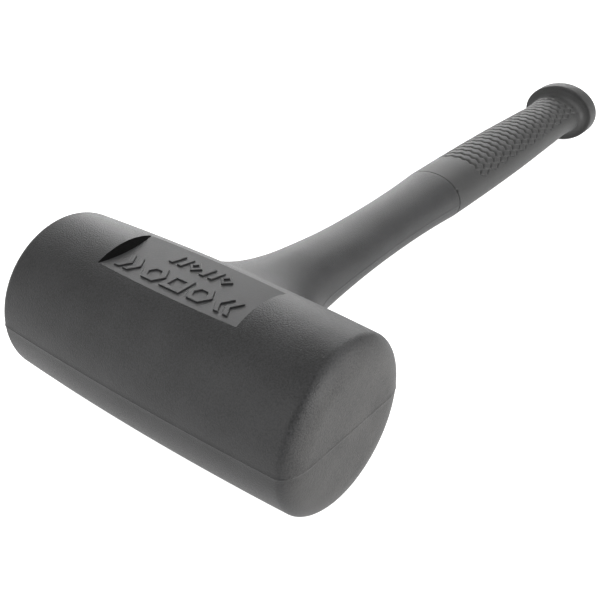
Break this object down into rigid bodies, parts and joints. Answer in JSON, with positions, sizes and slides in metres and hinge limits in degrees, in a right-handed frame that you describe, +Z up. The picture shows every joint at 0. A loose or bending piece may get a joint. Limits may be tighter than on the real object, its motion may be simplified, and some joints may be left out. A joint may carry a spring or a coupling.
{
  "type": "dead blow mallet",
  "caption": "Two-faced dead blow mallet: moulded urethane head and shaft over a steel canister of loose shot, with a flanged grip.",
  "frame": {"origin": "on the floor, under the middle of the mallet as it lies on the side of its head", "axes": "+X along the head towards its right striking face, +Y from the head to the butt of the grip, +Z up, square to the labelled cheek"},
  "size_m": [0.1422, 0.3622, 0.0696],
  "materials": {
    "body_urethane": "charcoal black cast urethane with a fine stipple grain",
    "grip_rubber": "black moulded rubber, knurled on the cheeks",
    "tube_steel": "drawn and turned steel, unpainted",
    "bright_steel": "bright ground bar",
    "shot_steel": "tumbled steel balls"
  },
  "bodies": {
    "mallet": {"body_overmould": "body_urethane", "grip_sleeve": "grip_rubber", "canister_tube": "tube_steel", "canister_cap_left": "tube_steel", "canister_cap_right": "tube_steel", "rod_socket": "tube_steel", "core_rod": "bright_steel", "socket_pin": "bright_steel"},
    "shot": {"steel_shot_01": "shot_steel", "steel_shot_02": "shot_steel", "steel_shot_03": "shot_steel", "steel_shot_04": "shot_steel", "steel_shot_05": "shot_steel", "steel_shot_06": "shot_steel", "steel_shot_07": "shot_steel", "steel_shot_08": "shot_steel", "steel_shot_09": "shot_steel", "steel_shot_10": "shot_steel", "steel_shot_11": "shot_steel", "steel_shot_12": "shot_steel", "steel_shot_13": "shot_steel", "steel_shot_14": "shot_steel", "steel_shot_15": "shot_steel", "steel_shot_16": "shot_steel", "steel_shot_17": "shot_steel", "steel_shot_18": "shot_steel", "steel_shot_19": "shot_steel", "steel_shot_20": "shot_steel", "steel_shot_21": "shot_steel", "steel_shot_22": "shot_steel", "steel_shot_23": "shot_steel", "steel_shot_24": "shot_steel", "steel_shot_25": "shot_steel", "steel_shot_26": "shot_steel", "steel_shot_27": "shot_steel", "steel_shot_28": "shot_steel", "steel_shot_29": "shot_steel", "steel_shot_30": "shot_steel", "steel_shot_31": "shot_steel", "steel_shot_32": "shot_steel", "steel_shot_33": "shot_steel", "steel_shot_34": "shot_steel", "steel_shot_35": "shot_steel", "steel_shot_36": "shot_steel", "steel_shot_37": "shot_steel", "steel_shot_38": "shot_steel", "steel_shot_39": "shot_steel", "steel_shot_40": "shot_steel", "steel_shot_41": "shot_steel", "steel_shot_42": "shot_steel", "steel_shot_43": "shot_steel", "steel_shot_44": "shot_steel", "steel_shot_45": "shot_steel", "steel_shot_46": "shot_steel", "steel_shot_47": "shot_steel", "steel_shot_48": "shot_steel"}
  },
  "joints": [
    {"name": "shot_slide", "type": "slide", "parent": "mallet", "child": "shot", "axis": [1, 0, 0], "range_m": [-0.006, 0.006]}
  ]
}
